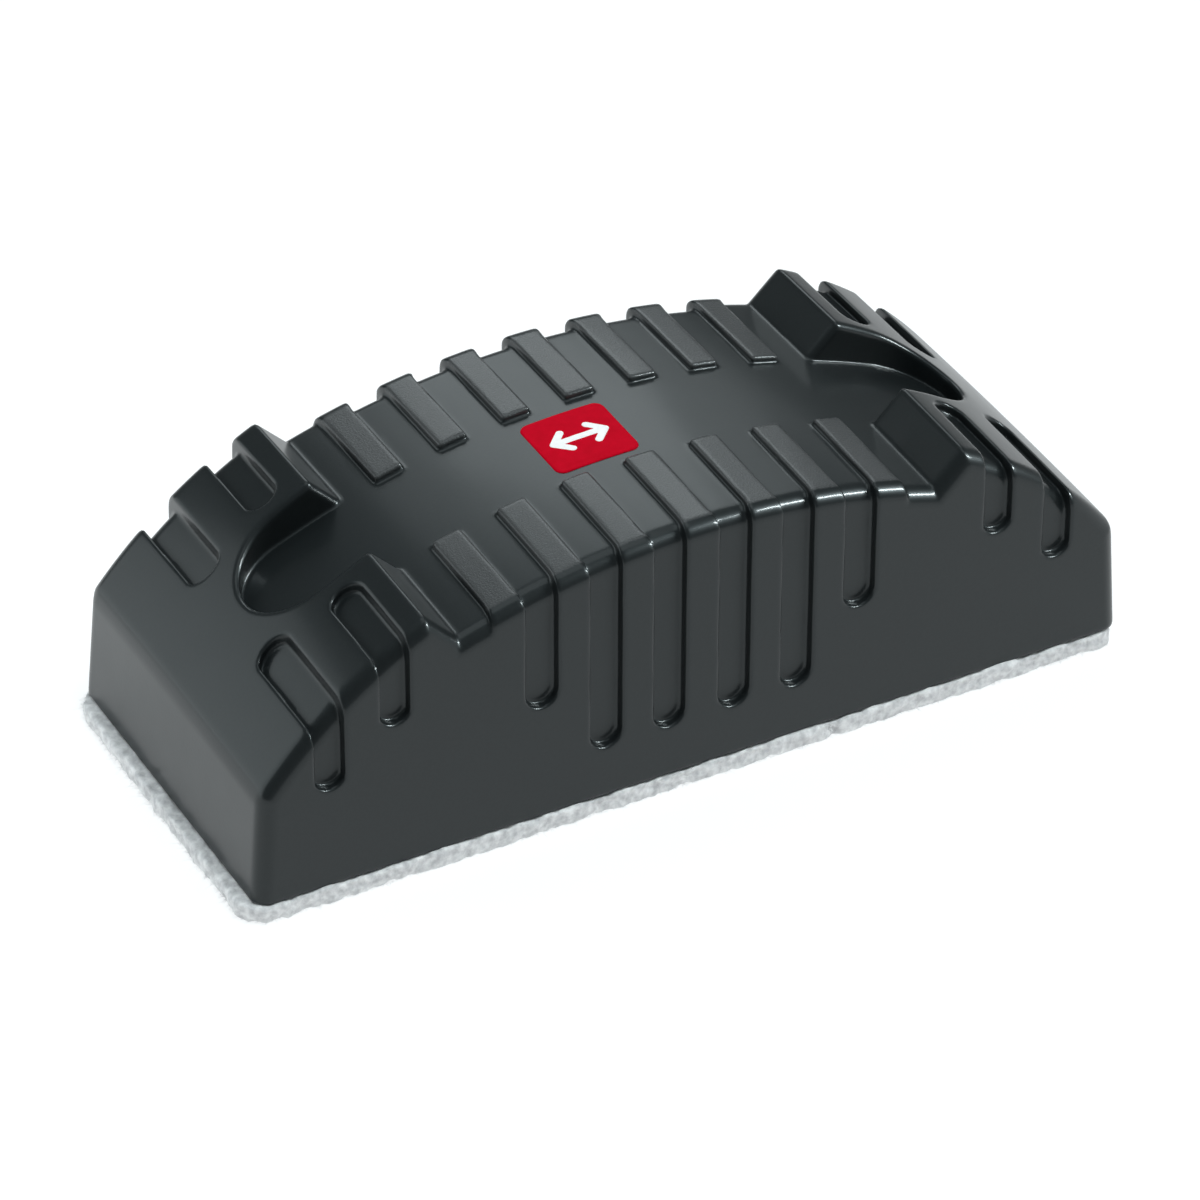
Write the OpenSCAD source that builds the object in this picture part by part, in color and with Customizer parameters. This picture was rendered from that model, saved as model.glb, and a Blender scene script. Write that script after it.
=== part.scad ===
// Dry-wipe board eraser: a hollow ribbed grip, closed by a base plate with two
// holding magnets, on a felt wiping pad that lifts off its hook tape.
// +X runs along the length, +Z up; the origin is the centre of the wiping face.

/* [Grip shell] */
// Length of the grip shell at its rim
shell_l = 146.6; // [142:0.2:150]
// Width of the grip shell at its rim
shell_w = 59.4; // [57:0.2:61]
// Height of the saddle's crest above the rim
crest_h = 42.6; // [42:0.2:44]
// Radius of the saddle's arch, seen from the side
arch_r = 126.9; // [122:0.5:132]
// Wall thickness
wall = 2.2; // [1.8:0.1:2.4]
// Inward lean of the end walls per mm of height
end_draft = 0.074; // [0.06:0.002:0.08]
// Inward lean of the side walls per mm of height
side_draft = 0.023; // [0.015:0.001:0.03]
// Radius of the upright corners
corner_r = 2.6; // [2.4:0.1:5]

/* [End blocks] */
// Half of the distance between the feet of the two ramps
ramp_x = 39.5; // [38.5:0.1:40]
// Radius of the arc over each end block
end_r = 78.2; // [76:0.2:80]
// Distance of that arc's centre from the middle
end_cx = 10; // [9:0.2:11]
// Depth of that arc's centre below the rim
end_cz = 28.7; // [28:0.1:30]
// Width of the thumb recess between the blocks
thumb_w = 18.2; // [17:0.2:19]
// Distance of the recess's round end from the middle
thumb_x = 50.6; // [49:0.2:51]

/* [Grip ribs] */
// Distance between neighbouring ribs
rib_pitch = 10.6; // [10.4:0.1:10.8]
// Width of a rib
rib_w = 4.6; // [4:0.1:5]
// Height of a rib above the saddle
rib_h = 1.1; // [0.8:0.1:2]
// Distance of the ribs' inner ends from the centreline
rib_y = 8.9; // [8:0.1:10]

/* [Grooves] */
// Width of a groove in a side wall
groove_w = 5.2; // [4.6:0.1:5.6]
// Depth of the grooves and slots
groove_d = 1.5; // [1.2:0.1:1.6]
// Width of a slot over an end block
slot_w = 4.7; // [4.2:0.1:5]

/* [Badge] */
// Length of the badge
badge_l = 14; // [12:0.5:15]
// Width of the badge
badge_w = 13.4; // [12:0.2:15]
// Distance of the badge's centre from the middle
badge_x = -4.9; // [-6:0.1:0]

/* [Wiping pad] */
// Thickness of the felt
felt_t = 2.2; // [2:0.1:4]
// Thickness of the loop fabric on its back
loop_t = 0.8; // [0.6:0.1:1.2]
// Length of the pad
pad_l = 149; // [147:0.5:152]
// Width of the pad
pad_w = 60.4; // [59:0.2:62]
// Corner radius of the pad
pad_r = 4; // [3:0.5:7]

/* [Inside] */
// Thickness of the base plate
plate_t = 2.4; // [2.2:0.1:2.8]
// Length of a magnet
magnet_l = 40; // [30:1:42]
// Width of a magnet
magnet_w = 18; // [12:1:20]
// Thickness of a magnet
magnet_t = 5; // [3:0.5:6]
// Distance of each magnet's centre from the middle
magnet_x = 36; // [30:1:40]
// Length of a hook strip
hook_l = 128; // [110:1:130]
// Width of a hook strip
hook_w = 20; // [16:1:22]
// Thickness of a hook strip
hook_t = 1; // [0.8:0.1:1.2]

/* [Hidden] */
$fn = 64;
arc_fn = 360;               // facets of the large arcs
rim_z = felt_t + loop_t;    // height of the shell's rim above the board
ramp_z = crest_h - arch_r + sqrt(arch_r * arch_r - ramp_x * ramp_x);
tall = crest_h + 10;        // taller than any part of the shell
wide = shell_w + 20;        // wider than the shell
cut = 0.5;                  // how far a cutter passes a face
rib_cols = [-3:3];          // one rib row, counted from the middle
// Each groove of a side wall: distance from the middle, height of its bottom
GROOVES = [[0.5 * rib_pitch, 8.9], [1.5 * rib_pitch, 8.9], [2.5 * rib_pitch, 19.8],
           [4.75 * rib_pitch, 25.2], [5.75 * rib_pitch, 17.3]];
// Each slot over an end block: distance from the middle, distance of its tip from the centreline
SLOTS = [[4.75 * rib_pitch, 12], [5.75 * rib_pitch, 9.6]];
badge_r = 1.6;              // corner radius of the badge
badge_sink = 0.3;           // depth of the badge's pocket
badge_proud = 0.1;          // how far the badge stands out of its pocket
snug = 0.1;                 // gap round a piece that is set into a pocket
loose = 0.25;               // gap round the base plate
web_x = 2 * rib_pitch;      // place of the two cross webs
web_t = 1.6;                // thickness of a cross web
web_z = 16;                 // height of a cross web's lower edge
post_x = 63;                // place of the four stop posts, along the length
post_y = 20;                // place of the four stop posts, across the width
post_w = 4;                 // width of a stop post
tab_x = 37.5;               // place of the four snap tabs
tab_w = 8;                  // width of a snap tab
tab_t = 1.4;                // thickness of a snap tab
tab_h = 5.2;                // height of a snap tab over the plate
ledge_z = 4.6;              // height of a snap ledge's lower face
ledge_t = 1;                // thickness of a snap ledge
ledge_out = 0.9;            // how far a ledge stands out of the wall
barb_gap = 0.15;            // gap between a barb and its ledge
barb_out = 0.8;             // how far a barb stands out of its tab
fence_t = 1.2;              // wall thickness of a magnet's pocket
fence_h = 4;                // height of a magnet's pocket
strip_y = 14;               // distance of each hook strip from the centreline

// --- shapes that the shell and its core share ---

// A rectangle with round corners, centred on the origin
module rounded_rect(l, w, r) {
    square([l - 2 * r, w], center = true);
    square([l, w - 2 * r], center = true);
    for (x = [-1, 1], y = [-1, 1]) translate([x * (l / 2 - r), y * (w / 2 - r)]) circle(r = r);
}

// The outline of two walls that lean in with height, from below the rim to the top
module leaning_outline(span, lean, below) {
    low = span / 2 + lean * below;
    high = span / 2 - lean * tall;
    polygon([[-low, -below], [low, -below], [high, tall], [-high, tall]]);
}

// The straight walls with their draft, moved in by inset and taken below the rim
module drafted_block(inset, below) {
    l = shell_l - 2 * inset;
    w = shell_w - 2 * inset;
    intersection() {
        translate([0, wide / 2, 0])
            rotate([90, 0, 0])
                linear_extrude(height = wide) leaning_outline(l, end_draft, below);
        translate([-shell_l, 0, 0])
            rotate([90, 0, 90])
                linear_extrude(height = 2 * shell_l) leaning_outline(w, side_draft, below);
        translate([0, 0, -below])
            linear_extrude(height = tall + below)
                rounded_rect(l + 2 * end_draft * below, w + 2 * side_draft * below,
                             max(corner_r - inset, 1));
    }
}

// A cylinder across the shell
module cross_cylinder(r, x, z) {
    translate([x, 0, z])
        rotate([90, 0, 0])
            cylinder(r = r, h = wide, center = true, $fn = arc_fn);
}

// The solid below the saddle, raised by lift
module arch(lift) {
    cross_cylinder(arch_r + lift, 0, crest_h - arch_r);
}

// The solid below the arcs of both end blocks, raised by lift
module end_arcs(lift) {
    for (side = [-1, 1]) cross_cylinder(end_r + lift, side * end_cx, -end_cz);
}

// What is taken away over the saddle and in the thumb recesses, widened by grow
module top_relief(grow) {
    foot = ramp_x + grow * sqrt(2);
    below_foot = 15;
    difference() {
        union() {
            translate([0, wide / 2, 0])
                rotate([90, 0, 0])
                    linear_extrude(height = wide)
                        polygon([[-foot + below_foot, ramp_z - below_foot],
                                 [foot - below_foot, ramp_z - below_foot],
                                 [foot + tall - ramp_z, tall], [-foot - tall + ramp_z, tall]]);
            linear_extrude(height = tall) {
                square([2 * thumb_x, thumb_w + 2 * grow], center = true);
                for (side = [-1, 1]) translate([side * thumb_x, 0]) circle(d = thumb_w + 2 * grow);
            }
        }
        arch(-grow);
    }
}

// One groove on the side wall at -Y, widened by grow
module wall_groove(x, bottom, grow) {
    r = groove_w / 2 + grow;
    axis_z = bottom + groove_w / 2;
    translate([x, -shell_w / 2, 0])
        rotate([-atan(side_draft), 0, 0])
            translate([0, groove_d + grow, 0])
                rotate([90, 0, 0]) {
                    translate([-r, axis_z, 0]) cube([2 * r, tall - axis_z, wall + groove_d + 3]);
                    translate([0, axis_z, 0]) cylinder(r = r, h = wall + groove_d + 3);
                }
}

// One slot over an end block, from its round tip out past the side wall at -Y
module block_slot(x, tip, grow) {
    r = slot_w / 2 + grow;
    linear_extrude(height = tall) {
        translate([x, -tip - slot_w / 2]) circle(r = r);
        translate([x - r, -wide / 2]) square([2 * r, wide / 2 - tip - slot_w / 2]);
    }
}

// All grooves and slots, widened by grow
module recesses(grow) {
    for (turn = [0, 180], side = [-1, 1])
        rotate([0, 0, turn]) {
            for (g = GROOVES) wall_groove(side * g[0], g[1], grow);
            difference() {
                for (s = SLOTS) block_slot(side * s[0], s[1], grow);
                end_arcs(-groove_d - grow);
            }
        }
}

// The grip without its ribs, with every face moved in by inset
module grip_form(inset, below) {
    difference() {
        intersection() {
            drafted_block(inset, below);
            end_arcs(-inset);
        }
        top_relief(inset);
        recesses(inset);
    }
}

// Both rows of ribs
module grip_ribs() {
    length = shell_w / 2 - rib_y;
    intersection() {
        drafted_block(0, 0);
        arch(rib_h);
        for (turn = [0, 180], i = rib_cols)
            rotate([0, 0, turn])
                translate([i * rib_pitch - rib_w / 2, rib_y, ramp_z - 4])
                    cube([rib_w, length, tall]);
    }
}

// Webs, stop posts and snap ledges, which stay standing inside the core
module inner_stiffening() {
    for (side = [-1, 1]) {
        translate([side * web_x - web_t / 2, -wide / 2, web_z]) cube([web_t, wide, tall]);
        for (across = [-1, 1]) {
            translate([side * post_x - post_w / 2, across * post_y - post_w / 2, plate_t])
                cube([post_w, post_w, tall]);
            snap_ledge(side * tab_x, across);
        }
    }
}

// The inner face of a side wall at height z
function inner_y(z) = shell_w / 2 - wall - side_draft * z;

// One ledge inside a side wall, which holds a snap tab's barb down
module snap_ledge(x, across) {
    y = inner_y(ledge_z) - ledge_out;
    translate([x - tab_w / 2, across > 0 ? y : -y - ledge_out - cut, ledge_z])
        cube([tab_w, ledge_out + cut, ledge_t]);
}

// The badge's outline in plan, widened by gap
module badge_outline(gap) {
    translate([badge_x, 0])
        rounded_rect(badge_l + 2 * gap, badge_w + 2 * gap, badge_r + gap);
}

// --- pieces of the grip ---

module grip_shell() {
    color("#2b2d30")
        translate([0, 0, rim_z])
            difference() {
                union() {
                    grip_form(0, 0);
                    grip_ribs();
                }
                difference() {
                    grip_form(wall, cut);
                    inner_stiffening();
                }
                difference() {
                    linear_extrude(height = tall) badge_outline(snug);
                    arch(-badge_sink);
                }
            }
}

module badge() {
    color("#c8102e")
        translate([0, 0, rim_z])
            difference() {
                intersection() {
                    linear_extrude(height = tall) badge_outline(0);
                    arch(badge_proud);
                }
                arch(-badge_sink);
            }
}

// A snap tab on the side at +Y, with the barb that clicks over a ledge
module snap_tab() {
    y = inner_y(ledge_z) - ledge_out - snug;
    catch_z = ledge_z + ledge_t + barb_gap;
    translate([-tab_w / 2, 0, 0])
        rotate([90, 0, 90])
            linear_extrude(height = tab_w)
                polygon([[y - tab_t, plate_t], [y, plate_t], [y, catch_z], [y + barb_out, catch_z],
                         [y, plate_t + tab_h], [y - tab_t, plate_t + tab_h]]);
}

// The low wall round a magnet
module magnet_fence() {
    l = magnet_l + 2 * snug;
    w = magnet_w + 2 * snug;
    translate([0, 0, plate_t])
        linear_extrude(height = fence_h)
            difference() {
                square([l + 2 * fence_t, w + 2 * fence_t], center = true);
                square([l, w], center = true);
            }
}

module base_plate() {
    l = shell_l - 2 * wall - 2 * end_draft * plate_t - 2 * loose;
    w = shell_w - 2 * wall - 2 * side_draft * plate_t - 2 * loose;
    color("#3c3e42")
        translate([0, 0, rim_z]) {
            difference() {
                linear_extrude(height = plate_t) rounded_rect(l, w, corner_r / 2);
                for (across = [-1, 1])
                    translate([0, across * strip_y, -cut])
                        linear_extrude(height = hook_t + cut)
                            square([hook_l + 2 * snug, hook_w + 2 * snug], center = true);
            }
            for (side = [-1, 1]) {
                translate([side * magnet_x, 0, 0]) magnet_fence();
                for (turn = [0, 180]) rotate([0, 0, turn]) translate([side * tab_x, 0, 0]) snap_tab();
            }
        }
}

module magnet(side) {
    color("#565250")
        translate([side * magnet_x - magnet_l / 2, -magnet_w / 2, rim_z + plate_t])
            cube([magnet_l, magnet_w, magnet_t]);
}

module magnet_left() {
    magnet(-1);
}

module magnet_right() {
    magnet(1);
}

module hook_strip(across) {
    color("#1d1d1f")
        translate([-hook_l / 2, across * strip_y - hook_w / 2, rim_z])
            cube([hook_l, hook_w, hook_t]);
}

module hook_strip_front() {
    hook_strip(-1);
}

module hook_strip_rear() {
    hook_strip(1);
}

// --- pieces of the wiping pad ---

module loop_backing() {
    inset = 0.5;
    color("#c9cbcd")
        translate([0, 0, felt_t])
            linear_extrude(height = loop_t)
                rounded_rect(pad_l - 2 * inset, pad_w - 2 * inset, pad_r - inset);
}

module felt_pad() {
    color("#d4d6d8")
        linear_extrude(height = felt_t)
            rounded_rect(pad_l, pad_w, pad_r);
}

grip_shell();
badge();
base_plate();
magnet_left();
magnet_right();
hook_strip_front();
hook_strip_rear();
loop_backing();
felt_pad();
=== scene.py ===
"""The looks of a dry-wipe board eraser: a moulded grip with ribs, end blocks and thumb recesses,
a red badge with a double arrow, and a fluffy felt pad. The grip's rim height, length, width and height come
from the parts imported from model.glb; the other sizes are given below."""

import math

import bpy
import numpy as np
import openvdb
from mathutils import Matrix, Vector


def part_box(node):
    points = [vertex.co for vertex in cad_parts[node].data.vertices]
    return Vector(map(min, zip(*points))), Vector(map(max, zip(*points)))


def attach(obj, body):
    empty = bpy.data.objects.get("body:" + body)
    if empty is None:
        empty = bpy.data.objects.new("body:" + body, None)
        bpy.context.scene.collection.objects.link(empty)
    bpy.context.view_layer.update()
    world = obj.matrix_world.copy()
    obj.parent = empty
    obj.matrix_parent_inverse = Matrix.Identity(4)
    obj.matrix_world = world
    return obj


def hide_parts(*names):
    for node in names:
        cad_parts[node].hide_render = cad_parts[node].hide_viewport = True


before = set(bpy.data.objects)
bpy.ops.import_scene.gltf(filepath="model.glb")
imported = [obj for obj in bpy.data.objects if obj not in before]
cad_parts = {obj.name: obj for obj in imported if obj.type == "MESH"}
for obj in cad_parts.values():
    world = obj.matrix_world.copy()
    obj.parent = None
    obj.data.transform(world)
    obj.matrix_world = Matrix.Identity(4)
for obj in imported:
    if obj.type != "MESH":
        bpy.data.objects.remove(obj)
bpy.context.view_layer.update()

MM = 0.001  # the fields below work in millimetres, and every mesh is made in metres
rng = np.random.default_rng(7)

# --- driving dimensions, in millimetres; heights are above the grip's rim ---

shell_low, shell_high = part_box("grip_shell")
RIM_Z = shell_low.z / MM
HALF_L = (shell_high.x - shell_low.x) / 2 / MM
HALF_W = (shell_high.y - shell_low.y) / 2 / MM
RIB_H = 1.1
CREST_H = (shell_high.z - shell_low.z) / MM - RIB_H
ARCH_R = 126.9
ARCH_Z = CREST_H - ARCH_R
WALL = 2.2
THIN = 1.2  # what is left of the wall behind a groove or slot
END_DRAFT = 0.074  # lean of the walls per mm of height
SIDE_DRAFT = 0.023
CORNER_R = 2.6
EDGE_R = 2.4  # along the tops of the side walls
END_EDGE_R = 1.0  # along the tops of the end walls
THUMB_EDGE_R = 1.0
CROWN = 0.5  # how far the tops fall from the middle to a side wall
RAMP_X = 39.5  # foot of the ramp in front of each end block
RAMP_Z = ARCH_Z + math.sqrt(ARCH_R**2 - RAMP_X**2)
END_R = 78.2
END_CX = 10.0
END_CZ = 28.7  # how far the centre of the end arc is below the rim
THUMB_R = 9.1
THUMB_X = 50.6
RIB_PITCH = 10.6
RIB_W = 4.6
RIB_Y = 8.9  # the ribs' inner ends
LAST_RIB = 3  # counted from the middle one, which is 0
GROOVE_W = 5.2
GROOVE_D = 1.5
SLOT_W = 4.7
GROOVES = ((0.5, 8.9), (1.5, 8.9), (2.5, 19.8))  # place in rib pitches, height of the bottom
SLOTS = ((4.75, 25.2, 12.0), (5.75, 17.3, 9.6))  # the same, and the distance of the tip from the middle

BADGE_L = 14.0
BADGE_W = 13.4
BADGE_X = -4.9
BADGE_R = 1.6
BADGE_SINK = 0.3
BADGE_PROUD = 0.2
PRINT_T = 0.06

FELT_T = 2.2
PAD_L = HALF_L * 2 + 1.9
PAD_W = HALF_W * 2 + 0.1
PAD_R = 4.0
PAD_X = -0.85  # the pad is stuck on a little off the middle
PAD_Y = -0.35
CLUMP = 2.4  # sizes and depths of the matting of the pad's edge
CLUMP_DEPTH = 0.42
TUFT = 0.9
TUFT_DEPTH = 0.30

GRIP_STEP = 0.36  # cell sizes of the fields
BADGE_STEP = 0.13
PRINT_STEP = 0.09
PAD_STEP = 0.35


# --- solids as fields: negative inside, in millimetres ---


def round_rect(x, y, length, width, r):
    """Distance from the outline of a rectangle with round corners, centred on the origin."""
    along = np.abs(x) - length / 2 + r
    across = np.abs(y) - width / 2 + r
    outside = np.hypot(np.maximum(along, 0), np.maximum(across, 0))
    return outside + np.minimum(np.maximum(along, across), 0) - r


def rounded(a, b, r):
    """What is inside both a and b, with an edge of radius r where they meet."""
    outside = np.hypot(np.maximum(a + r, 0), np.maximum(b + r, 0))
    return np.minimum(np.maximum(a, b), -r) + outside


def capped(end_wall, side_wall, top):
    """What is inside the walls and under top, with round edges all along the top."""
    walls = rounded(end_wall, side_wall, CORNER_R)
    return np.maximum(rounded(walls, top, END_EDGE_R), rounded(side_wall, top, EDGE_R))


def ramp_between(value, start, end):
    """0 up to start, 1 from end on, and smooth in between."""
    share = np.clip((value - start) / (end - start), 0, 1)
    return share * share * (3 - 2 * share)


def rib_side(s, t):
    """Distance from the flank of the nearest rib, which widens where it runs over the side."""
    nearest = RIB_PITCH * np.minimum(np.round(s / RIB_PITCH), LAST_RIB)
    flare = (RIB_PITCH - GROOVE_W - RIB_W) / 2 * ramp_between(t, HALF_W - 5, HALF_W - 1)
    return np.abs(s - nearest) - RIB_W / 2 - flare


def column(s, z, place, bottom, width):
    """An upright groove seen from the side: straight flanks and a round bottom."""
    axis_z = bottom + width / 2
    return np.hypot(s - place * RIB_PITCH, np.minimum(z - axis_z, 0)) - width / 2


def lane(s, t, place, tip):
    """A slot over an end block seen from above: straight flanks and a round tip."""
    axis_t = tip + SLOT_W / 2
    return np.hypot(s - place * RIB_PITCH, np.minimum(t - axis_t, 0)) - SLOT_W / 2


def grip_field(x, y, z):
    """The hollow grip, before its small edges are softened."""
    s, t = np.abs(x), np.abs(y)
    end_wall = (s - HALF_L + END_DRAFT * z) / math.hypot(1, END_DRAFT)
    side_wall = (t - HALF_W + SIDE_DRAFT * z) / math.hypot(1, SIDE_DRAFT)
    crowned = z + CROWN * (t / HALF_W) ** 2
    arch = np.hypot(s, crowned - ARCH_Z) - ARCH_R
    block = np.hypot(s - END_CX, crowned + END_CZ) - END_R
    ramp = (RAMP_X - s + crowned - RAMP_Z) / math.sqrt(2)
    thumb = np.hypot(np.maximum(s - THUMB_X, 0), t) - THUMB_R

    saddle_top = np.maximum(arch, block)
    block_top = np.maximum(block, ramp)
    saddle = capped(end_wall, side_wall, saddle_top)
    blocks = rounded(capped(end_wall, side_wall, block_top), -thumb, THUMB_EDGE_R)
    ribs = np.maximum(capped(end_wall, side_wall, arch - RIB_H), np.maximum(rib_side(s, t), RIB_Y - t))
    plain = np.minimum(saddle, blocks)
    body = np.minimum(plain, ribs)
    core = plain + WALL

    for place, bottom in GROOVES:
        cut = column(s, z, place, bottom, GROOVE_W)
        floor = capped(end_wall, side_wall + GROOVE_D, saddle_top)
        body = np.minimum(np.maximum(body, -cut), np.maximum(floor, cut - 1))
        core = np.maximum(core, np.minimum(floor + THIN, THIN - cut))
    for place, bottom, tip in SLOTS:
        cut = np.maximum(column(s, z, place, bottom, GROOVE_W), lane(s, t, place, tip))
        floor = capped(end_wall, side_wall + GROOVE_D, block_top + GROOVE_D)
        body = np.minimum(np.maximum(body, -cut), np.maximum(floor, cut - 1))
        core = np.maximum(core, np.minimum(floor + THIN, THIN - cut))
    return np.maximum(np.maximum(body, -core), -z)


# --- from a field to a mesh ---


def placed(name, data):
    """A new object in the scene that holds data."""
    obj = bpy.data.objects.new(name, data)
    bpy.context.scene.collection.objects.link(obj)
    return obj


def smooth(values, sigma):
    """values blurred by a Gaussian of sigma grid steps."""
    reach = max(1, math.ceil(2.5 * sigma))
    weights = np.exp(-0.5 * (np.arange(-reach, reach + 1) / sigma) ** 2)
    weights /= weights.sum()
    for axis in range(3):
        padded = np.pad(values, [(reach, reach) if a == axis else (0, 0) for a in range(3)], mode="edge")
        count = values.shape[axis]
        slices = (np.take(padded, range(i, i + count), axis) * w for i, w in enumerate(weights))
        values = sum(slices)
    return values


def interpolate(values, p):
    """values at the grid points p, by trilinear interpolation."""
    p = np.clip(p, 0, np.array(values.shape) - 1.001)
    base = p.astype(int)
    f = p - base
    total = 0
    for dx in (0, 1):
        for dy in (0, 1):
            for dz in (0, 1):
                share = np.abs(1 - dx - f[:, 0]) * np.abs(1 - dy - f[:, 1]) * np.abs(1 - dz - f[:, 2])
                total = total + share * values[base[:, 0] + dx, base[:, 1] + dy, base[:, 2] + dz]
    return total


def gradient(values, p):
    """The outward unit direction and the steepness of values at the grid points p."""
    reach = 0.75
    steps = np.eye(3) * reach
    g = np.stack([interpolate(values, p + d) - interpolate(values, p - d) for d in steps], 1) / (2 * reach)
    steepness = np.maximum(np.linalg.norm(g, axis=1, keepdims=True), 1e-6)
    return g / steepness, steepness


def thinned(mesh, share):
    """mesh with only a share of its faces, most of them kept where it curves."""
    obj = placed(mesh.name, mesh)
    obj.modifiers.new("thin", "DECIMATE").ratio = share
    thin = bpy.data.meshes.new_from_object(obj.evaluated_get(bpy.context.evaluated_depsgraph_get()))
    bpy.data.objects.remove(obj)
    bpy.data.meshes.remove(mesh)
    return thin


def coordinates(mesh):
    """The vertices of mesh, one row each."""
    flat = np.empty(3 * len(mesh.vertices), np.float32)
    mesh.vertices.foreach_get("co", flat)
    return flat.reshape(-1, 3).astype(float)


def mesh_of(name, field, low, high, step, soften, adaptivity=0.0, keep=1.0, mirrored=False):
    """An object on the zero surface of field between two corners. All sizes are in millimetres.
    soften rounds the small edges, adaptivity merges flat cells, keep is the share of faces left at the end,
    and a mirrored field is worked out on one quarter only."""
    counts = [math.ceil((b - a) / step) for a, b in zip(low, high)]
    axes = [a + step * (np.arange(n) + 0.5) for a, n in zip(low, counts)]
    if mirrored:
        axes = [axes[0][axes[0] > 0], axes[1][axes[1] > 0], axes[2]]
    x, y, z = np.meshgrid(*axes, indexing="ij", sparse=True)
    values = field(x, y, z).astype(np.float32)
    if mirrored:
        values = np.concatenate([values[::-1], values], 0)
        values = np.concatenate([values[:, ::-1], values], 1)
        # Known fault: the middle cells are narrower than step, but the mesh is laid out evenly from one end,
        # so the +X and +Y halves sit part of a cell too far out (0.28 and 0.20 mm on the grip).
        axes = [np.concatenate([-a[::-1], a]) for a in axes[:2]] + [axes[2]]
    values = smooth(values, soften / step).astype(np.float32)
    grid = openvdb.FloatGrid(background=float(values.max()))
    grid.copyFromArray(np.ascontiguousarray(values))
    points, triangles, quads = grid.convertToPolygons(0.0, adaptivity)
    mesh = bpy.data.meshes.new(name)
    mesh.from_pydata(points, [], quads.tolist() + triangles.tolist())
    if keep < 1:
        mesh = thinned(mesh, keep)
    points = coordinates(mesh)
    for _ in range(2):
        normal, steepness = gradient(values, points)
        points -= normal * np.clip(interpolate(values, points)[:, None] / steepness, -0.5, 0.5)
    normal, _ = gradient(values, points)
    origin = np.array([a[0] for a in axes])
    mesh.vertices.foreach_set("co", ((origin + points * step) * MM).ravel())
    mesh.validate()
    mesh.shade_smooth()
    mesh.normals_split_custom_set_from_vertices(normal.tolist())
    return placed(name, mesh)


def raised(obj, height):
    """obj with its mesh moved up by height millimetres."""
    obj.data.transform(Matrix.Translation((0, 0, height * MM)))
    return obj


def paint(obj, name, values):
    """A number for every vertex of obj, which its material reads by name."""
    obj.data.attributes.new(name, "FLOAT", "POINT").data.foreach_set("value", values.astype(np.float32))


def make_grip():
    """The grip's skin, with the tops of its ribs marked for their rougher surface and for their lighter
    colour, which is partly painted highlight.
    """
    margin = 1.0
    low = (-HALF_L - margin, -HALF_W - margin, -margin)
    high = (HALF_L + margin, HALF_W + margin, CREST_H + RIB_H + margin)
    grip = mesh_of("grip_moulding", grip_field, low, high, GRIP_STEP, soften=0.2, keep=0.24, mirrored=True)
    x, y, z = coordinates(grip.data).T / MM
    s, t = np.abs(x), np.abs(y)
    over_arch = np.hypot(s, z + CROWN * (t / HALF_W) ** 2 - ARCH_Z) - ARCH_R
    in_row = (s < RAMP_X - 2) & (t > RIB_Y - 0.2) & (t < HALF_W - 3)
    # this mark also carries the rib tops' lighter colour, partly painted highlight
    paint(grip, "rib_top", ramp_between(over_arch, RIB_H - 0.6, RIB_H - 0.2) * in_row)
    return raised(grip, RIM_Z)


# --- badge ---


def over_saddle(x, z):
    """Height over the saddle's crest line."""
    return np.hypot(x, z - ARCH_Z) - ARCH_R


def badge_field(x, y, z):
    """A plate that follows the saddle, with a round upper edge."""
    outline = round_rect(x - BADGE_X, y, BADGE_L, BADGE_W, BADGE_R)
    height = over_saddle(x, z)
    return np.maximum(rounded(outline, height - BADGE_PROUD, 0.3), -height - BADGE_SINK)


def stroke(x, y, start, end, r):
    """Distance from a stroke of radius r with round ends."""
    along = np.array(end) - start
    share = np.clip(((x - start[0]) * along[0] + (y - start[1]) * along[1]) / (along @ along), 0, 1)
    return np.hypot(x - start[0] - share * along[0], y - start[1] - share * along[1]) - r


def print_field(x, y, z):
    """A mark for wiping to and fro: two arrow heads on one shaft."""
    reach, head, r = 4.3, 2.1, 0.62
    u, v = np.abs(x - BADGE_X), np.abs(y)
    shaft = stroke(u, v, (0, 0), (reach, 0), r)
    barb = stroke(u, v, (reach, 0), (reach - head, head), r)
    height = over_saddle(x, z) - BADGE_PROUD
    return np.maximum(np.minimum(shaft, barb), np.maximum(height - PRINT_T, -height - BADGE_SINK))


def make_badge():
    """The badge's plate, and the mark printed on it."""
    margin = 0.5
    x, y = BADGE_L / 2 + margin, BADGE_W / 2 + margin
    low, high = (BADGE_X - x, -y, CREST_H - 2), (BADGE_X + x, y, CREST_H + 1)
    plate = mesh_of("badge_plate", badge_field, low, high, BADGE_STEP, soften=0.08, adaptivity=0.0005)
    mark = mesh_of("badge_print", print_field, low, high, PRINT_STEP, soften=0.04, adaptivity=0.0005)
    return raised(plate, RIM_Z), raised(mark, RIM_Z)


# --- wiping pad ---


def fleece(x, y, z, size, lattice):
    """Smooth random heights, about -1 to 1, in clumps of a size in millimetres."""
    x, y, z = np.broadcast_arrays(x, y, z)
    corner = (90, 45, 5)  # how far left, in front of and below the origin the lattice starts
    places = np.stack([v + c for v, c in zip((x, y, z), corner)], -1).reshape(-1, 3) / size
    return interpolate(lattice, places).reshape(x.shape)


def pad_field(low, high, low_edge_r, high_edge_r, coarse, fine):
    """A layer of the pad, with its edge matted by two lattices of random heights."""

    def field(x, y, z):
        outline = round_rect(x - PAD_X, y - PAD_Y, PAD_L, PAD_W, PAD_R)
        layer = np.maximum(rounded(outline, low - z, low_edge_r), rounded(outline, z - high, high_edge_r))
        clumps = CLUMP_DEPTH * fleece(x, y, z, CLUMP, coarse) + TUFT_DEPTH * fleece(x, y, z, TUFT, fine)
        near_edge = ramp_between(outline, -3.5, -1.5) * ramp_between(z, 0.0, 0.3)
        return np.maximum(layer + clumps * near_edge, low - z)

    return field


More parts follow.
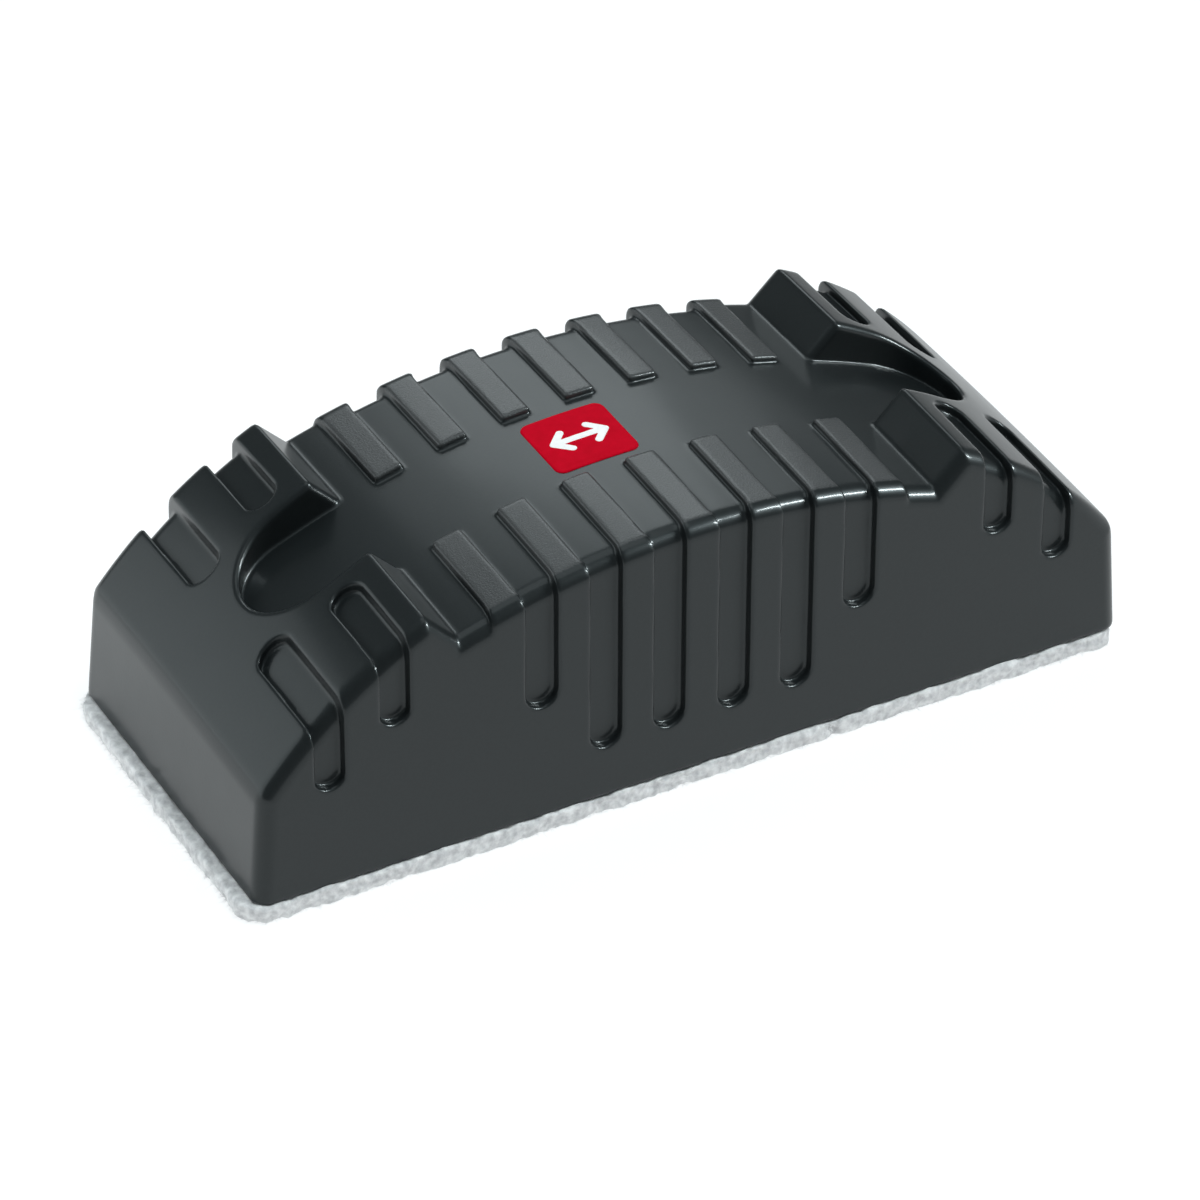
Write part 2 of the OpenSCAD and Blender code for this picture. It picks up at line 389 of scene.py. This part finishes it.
def make_pad():
    """The felt, and the loop fabric on its back."""
    coarse = rng.uniform(-1, 1, (80, 40, 8))
    fine = rng.uniform(-1, 1, (205, 105, 14))
    margin = 1.5
    low = (PAD_X - PAD_L / 2 - margin, PAD_Y - PAD_W / 2 - margin)
    high = (PAD_X + PAD_L / 2 + margin, PAD_Y + PAD_W / 2 + margin)
    felt_shape = pad_field(0.0, FELT_T, 0.6, 0.05, coarse, fine)
    felt = mesh_of("felt_mat", felt_shape, (*low, -1.0), (*high, FELT_T + 1.2), PAD_STEP,
                   soften=0.12, adaptivity=0.004)
    loop_z = FELT_T - 0.9  # deep enough in the felt that no gap opens where its top is matted
    loop_shape = pad_field(loop_z, RIM_Z, 0.05, 0.4, coarse, fine)
    loops = mesh_of("loop_fleece", loop_shape, (*low, loop_z - 1.0), (*high, RIM_Z + 1.0), PAD_STEP,
                    soften=0.1, adaptivity=0.004)
    return felt, loops


def outline_walk(half_l, half_w, corner_r, count):
    """Random places on a rectangle with round corners, and the outward directions there."""
    straight = 2 * np.array([half_l - corner_r, half_w - corner_r])
    quarter = corner_r * math.pi / 2
    at = rng.uniform(0, 2 * straight.sum() + 4 * quarter, count)
    place, outward = np.zeros((count, 2)), np.zeros((count, 2))
    start, heading = 0.0, 0.0
    centre = np.array([straight[0] / 2, -straight[1] / 2])
    for length in (straight[1], straight[0], straight[1], straight[0]):
        out = np.array([math.cos(heading), math.sin(heading)])
        ahead = np.array([-out[1], out[0]])
        here = (at >= start) & (at < start + length)
        place[here] = centre + out * corner_r + ahead * (at[here] - start)[:, None]
        outward[here] = out
        start += length
        centre = centre + ahead * length
        here = (at >= start) & (at < start + quarter)
        angle = heading + (at[here] - start) / corner_r
        outward[here] = np.stack([np.cos(angle), np.sin(angle)], 1)
        place[here] = centre + outward[here] * corner_r
        start += quarter
        heading += math.pi / 2
    return place, outward


def make_fibres():
    """Loose fibres that stand out of the pad's edge, each a thin tapered tube of three sides."""
    count, rings, thickness = 9000, 4, 0.03
    sunk = 0.35  # how far the roots are inside the pad's outline
    place, outward = outline_walk(PAD_L / 2 - sunk, PAD_W / 2 - sunk, PAD_R, count)
    root = np.column_stack([place + (PAD_X, PAD_Y), rng.uniform(0.15, RIM_Z - 0.15, count)])
    drift = rng.normal(0, 0.75, (count, 3))
    way = np.column_stack([outward, np.zeros(count)]) + drift * (1, 1, 0.6)
    way /= np.linalg.norm(way, axis=1, keepdims=True)
    curl = rng.normal(0, 0.6, (count, 3))
    length = np.clip(rng.lognormal(-0.4, 0.4, count), 0.3, 1.4)
    share = np.linspace(0, 1, rings)[None, :, None]
    spine = root[:, None] + (way[:, None] * share + curl[:, None] * share**2 * 0.5) * length[:, None, None]
    spine[..., 2] = np.clip(spine[..., 2], 0.06, RIM_Z + 0.25)
    side = np.cross(way, rng.normal(0, 1, (count, 3)))
    side /= np.linalg.norm(side, axis=1, keepdims=True)
    other = np.cross(way, side)
    r = thickness * (1 - 0.75 * share)
    thirds = [2 * math.pi * k / 3 for k in range(3)]
    corners = [side[:, None] * math.cos(a) + other[:, None] * math.sin(a) for a in thirds]
    points = np.stack([spine + r * c for c in corners], 2).reshape(-1, 3)
    first = (np.arange(count) * rings * 3)[:, None]
    walls = [[3 * k + i, 3 * k + (i + 1) % 3, 3 * k + 3 + (i + 1) % 3, 3 * k + 3 + i]
             for k in range(rings - 1) for i in range(3)]
    ends = np.array([[2, 1, 0], [3 * rings - 3, 3 * rings - 2, 3 * rings - 1]])
    quads = np.concatenate([first + np.array(w) for w in walls])
    caps = np.concatenate([first + e for e in ends])
    mesh = bpy.data.meshes.new("felt_fluff")
    mesh.from_pydata(points * MM, [], quads.tolist() + caps.tolist())
    mesh.shade_smooth()
    return placed("felt_fluff", mesh)


# --- studio ---

COOL = (0.92, 1.0, 1.02)  # the colour of every lamp and of the surround


def make_camera():
    """A long lens, from the front, the left and above."""
    azimuth, elevation, roll = math.radians(-29.3), math.radians(36.19), math.radians(0.97)
    distance, lens = 0.9471, 189.45
    aim_right, aim_up = -0.00096, -0.00732
    centre = Vector((0, 0, shell_low.z + 0.02))
    back = Vector((math.sin(azimuth) * math.cos(elevation), -math.cos(azimuth) * math.cos(elevation),
                   math.sin(elevation)))
    right = (-back).cross(Vector((0, 0, 1))).normalized()
    up = right.cross(-back)
    right, up = right * math.cos(roll) + up * math.sin(roll), up * math.cos(roll) - right * math.sin(roll)
    place = centre + back * distance
    aim = centre + right * aim_right + up * aim_up
    back = (place - aim).normalized()
    right = up.cross(back).normalized()
    up = back.cross(right)
    data = bpy.data.cameras.new("camera")
    data.lens = lens
    data.sensor_width = 36.0
    camera = placed("camera", data)
    camera.matrix_world = Matrix.Translation(place) @ Matrix((right, up, back)).transposed().to_4x4()
    bpy.context.scene.camera = camera


def area_light(name, direction, distance, size, radiance, along=(0, 0, 0)):
    """A soft box at a distance from the eraser, whose power follows from its radiance and its size.
    Its first side is level, or runs along a direction."""
    data = bpy.data.lights.new(name, "AREA")
    data.shape = "RECTANGLE"
    data.size, data.size_y = size
    data.energy = radiance * math.pi * size[0] * size[1]
    data.color = COOL
    lamp = placed(name, data)
    away = Vector(direction).normalized()
    side = Vector(along) if any(along) else Vector((0, 0, 1)).cross(away)
    side = (side - away * side.dot(away)).normalized()
    turn = Matrix((side, away.cross(side), away)).transposed().to_4x4()
    lamp.matrix_world = Matrix.Translation(Vector((0, 0, 0.03)) + away * distance) @ turn
    return lamp


def make_floor():
    """A floor that glows like a light table: less far from the object, and more behind its left end."""
    mesh = bpy.data.meshes.new("floor")
    r = 3.0
    mesh.from_pydata([(-r, -r, 0), (r, -r, 0), (r, r, 0), (-r, r, 0)], [], [(0, 1, 2, 3)])
    floor = placed("floor", mesh)
    material = bpy.data.materials.new("floor_white")
    material.use_nodes = True
    nodes, links = material.node_tree.nodes, material.node_tree.links
    shader = nodes["Principled BSDF"]
    shader.inputs["Base Color"].default_value = (0.3, 0.3, 0.3, 1)
    shader.inputs["Roughness"].default_value = 1.0
    shader.inputs["Specular IOR Level"].default_value = 0.0
    shader.inputs["Emission Color"].default_value = (0.97, 1, 1.01, 1)

    def glow(centre, start, end, high, low):
        """Light that falls from high to low between two distances from a place on the floor."""
        away = nodes.new("ShaderNodeVectorMath")
        away.operation = "DISTANCE"
        away.inputs[1].default_value = centre
        links.new(nodes.new("ShaderNodeTexCoord").outputs["Object"], away.inputs[0])
        fade = nodes.new("ShaderNodeMapRange")
        for socket, value in (("From Min", start), ("From Max", end), ("To Min", high), ("To Max", low)):
            fade.inputs[socket].default_value = value
        links.new(away.outputs["Value"], fade.inputs["Value"])
        return fade.outputs["Result"]

    both = nodes.new("ShaderNodeMath")
    links.new(glow((0, 0, 0), start=0.19, end=0.6, high=0.79, low=0.46), both.inputs[0])
    links.new(glow((-0.125, 0.105, 0), start=0.0, end=0.09, high=0.7, low=0.0), both.inputs[1])
    links.new(both.outputs["Value"], shader.inputs["Emission Strength"])
    mesh.materials.append(material)


def make_studio():
    """A white floor under soft boxes, and a dim surround."""
    make_floor()
    world = bpy.data.worlds.new("studio")
    world.use_nodes = True
    background = world.node_tree.nodes["Background"]
    background.inputs["Color"].default_value = (*COOL, 1)
    background.inputs["Strength"].default_value = 0.14
    bpy.context.scene.world = world
    area_light("back_softbox", (0.31, 0.735, 0.59), 0.9, (0.34, 0.25), 2.2)
    area_light("back_softbox_rim", (0.31, 0.735, 0.59), 0.92, (0.62, 0.42), 1.35)
    area_light("left_panel", (-0.36, 0.20, 0.10), 0.42, (0.34, 0.28), 1.6)
    glint = area_light("right_strip", (0.69, -0.46, 0.55), 0.8, (0.42, 0.07), 110.0,
                       along=(0.73, 0.39, -0.57))
    glint.visible_diffuse = False
    fill = area_light("top_fill", (0.1, -0.25, 0.97), 1.0, (0.5, 0.5), 8.2)
    fill.visible_glossy = False
    area_light("back_strip", (0.60, 0.71, 0.36), 0.9, (0.30, 0.05), 0.9)
    area_light("top_softbox", (0.0, 0.1, 1.0), 1.2, (0.9, 0.9), 1.2)
    bpy.context.scene.view_settings.view_transform = "Standard"


# --- materials ---


def surface(name, dark, light, grain, roughness, bumps=(), top=None, **constants):
    """A material whose colour runs from dark to light in grains of a size in millimetres.
    roughness is its least, its most and the size of its patches, bumps is pairs of a grain size and a depth
    in millimetres, and top is a vertex number's name with the colour, roughness and bump that it brings."""
    material = bpy.data.materials.new(name)
    material.use_nodes = True
    nodes, links = material.node_tree.nodes, material.node_tree.links
    shader = nodes["Principled BSDF"]
    place = nodes.new("ShaderNodeTexCoord").outputs["Object"]

    def noise(size, detail=3.0):
        """Noise of a size in millimetres."""
        node = nodes.new("ShaderNodeTexNoise")
        node.inputs["Scale"].default_value = 1 / (size * MM)
        node.inputs["Detail"].default_value = detail
        links.new(place, node.inputs["Vector"])
        return node.outputs["Fac"]

    def mixed(kind, fac, a, b):
        """A mix of a and b by fac, each of them a socket or a number."""
        node = nodes.new("ShaderNodeMix")
        node.data_type = kind
        slots = [s for s in node.inputs if s.enabled]
        for value, slot in zip((fac, a, b), slots):
            if hasattr(value, "node"):
                links.new(value, slot)
            else:
                slot.default_value = value
        return next(o for o in node.outputs if o.enabled)

    spread = nodes.new("ShaderNodeMapRange")
    spread.inputs["From Min"].default_value = 0.3
    spread.inputs["From Max"].default_value = 0.7
    links.new(noise(grain), spread.inputs["Value"])
    colour = mixed("RGBA", spread.outputs["Result"], (*dark, 1), (*light, 1))
    rough = mixed("FLOAT", noise(roughness[2]), roughness[0], roughness[1])
    layers = [(size, depth, None) for size, depth in bumps]
    if top:
        top_name, top_colour, top_rough, top_bump = top
        attribute = nodes.new("ShaderNodeAttribute")
        attribute.attribute_name = top_name
        share = attribute.outputs["Fac"]
        colour = mixed("RGBA", share, colour, (*top_colour, 1))
        rough = mixed("FLOAT", share, rough, top_rough)
        layers.append((*top_bump, share))
    links.new(colour, shader.inputs["Base Color"])
    links.new(rough, shader.inputs["Roughness"])
    normal = None
    for size, depth, strength in layers:
        node = nodes.new("ShaderNodeBump")
        node.inputs["Distance"].default_value = depth * MM
        if strength is not None:
            links.new(strength, node.inputs["Strength"])
        links.new(noise(size, detail=2.0), node.inputs["Height"])
        if normal:
            links.new(normal, node.inputs["Normal"])
        normal = node.outputs["Normal"]
    if normal:
        links.new(normal, shader.inputs["Normal"])
    for socket, value in constants.items():
        shader.inputs[socket.replace("_", " ")].default_value = value
    return material


def charcoal_plastic():
    """Dark moulded plastic with a satin skin, pebbled on the tops of the ribs, where a lighter colour is
    partly the rough skin's own grey and partly painted highlight.
    """
    return surface("charcoal_plastic", dark=(0.0085, 0.0105, 0.0112), light=(0.0100, 0.0122, 0.0130),
                   grain=0.5, roughness=(0.36, 0.42, 7.0), bumps=((0.5, 0.006),),
                   # rib tops: a lighter colour that is partly painted highlight, more roughness and a
                   # pebbled bump
                   top=("rib_top", (0.050, 0.051, 0.052), 0.42, (0.3, 0.11)),
                   Specular_IOR_Level=0.24, Specular_Tint=(0.89, 1.0, 1.02, 1),
                   Coat_Weight=0.32, Coat_Roughness=0.15)


def plate_plastic():
    """Dark plastic with a dull skin."""
    return surface("plate_plastic", dark=(0.018, 0.020, 0.022), light=(0.026, 0.028, 0.030),
                   grain=0.6, roughness=(0.5, 0.62, 5.0), bumps=((0.4, 0.012),))


def badge_gloss():
    """Red plastic that mirrors next to nothing."""
    return surface("badge_gloss", dark=(0.48, 0.0016, 0.013), light=(0.54, 0.0020, 0.016),
                   grain=1.5, roughness=(0.45, 0.55, 3.0), bumps=((1.2, 0.003),),
                   Specular_IOR_Level=0.01)


def badge_ink():
    """White printing ink."""
    return surface("badge_ink", dark=(0.86, 0.85, 0.84), light=(0.94, 0.93, 0.92),
                   grain=0.6, roughness=(0.45, 0.6, 1.0), bumps=((0.3, 0.003),))


def felt_wool():
    """White matted wool."""
    return surface("felt_wool", dark=(0.60, 0.60, 0.61), light=(1.0, 1.0, 1.0),
                   grain=1.2, roughness=(0.9, 1.0, 2.0), bumps=((0.9, 0.12), (0.25, 0.04)),
                   Sheen_Weight=0.4, Specular_IOR_Level=0.1)


def loop_knit():
    """White brushed loops, a little coarser than the wool."""
    return surface("loop_knit", dark=(0.60, 0.60, 0.61), light=(1.0, 1.0, 1.0),
                   grain=1.2, roughness=(0.9, 1.0, 2.0), bumps=((0.9, 0.12), (0.3, 0.05)),
                   Sheen_Weight=0.4, Specular_IOR_Level=0.1)


def hook_nylon():
    """Black hook tape, with painted shade for the dark between its hooks."""
    # the darker grains are painted shade between the hooks
    return surface("hook_nylon", dark=(0.006, 0.006, 0.007), light=(0.040, 0.040, 0.043),
                   grain=0.5, roughness=(0.35, 0.7, 0.8), bumps=((0.9, 0.5), (0.4, 0.1)))


def sintered_ferrite():
    """Dark grey magnet, with a pitted skin."""
    return surface("sintered_ferrite", dark=(0.030, 0.028, 0.027), light=(0.075, 0.070, 0.066),
                   grain=0.8, roughness=(0.55, 0.8, 2.5), bumps=((0.5, 0.03), (3.0, 0.05)))


def dress(piece, body, node, material):
    """A piece with its material, on its body, in the place of a CAD node."""
    piece.data.materials.append(material)
    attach(piece, body)
    if node:
        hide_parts(node)


def redress(node, material):
    """A CAD node that keeps its shape and gets a better material."""
    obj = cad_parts[node]
    obj.data.materials.clear()
    obj.data.materials.append(material)


make_camera()
make_studio()
dress(make_grip(), "grip", "grip_shell", charcoal_plastic())
badge_plate, badge_print = make_badge()
dress(badge_plate, "grip", "badge", badge_gloss())
dress(badge_print, "grip", None, badge_ink())
felt_mat, loop_fleece = make_pad()
wool = felt_wool()
dress(felt_mat, "pad", "felt_pad", wool)
dress(make_fibres(), "pad", None, wool)
dress(loop_fleece, "pad", "loop_backing", loop_knit())
plate = plate_plastic()
ferrite = sintered_ferrite()
nylon = hook_nylon()
redress("base_plate", plate)
for name in ("magnet_left", "magnet_right"):
    redress(name, ferrite)
for name in ("hook_strip_front", "hook_strip_rear"):
    redress(name, nylon)
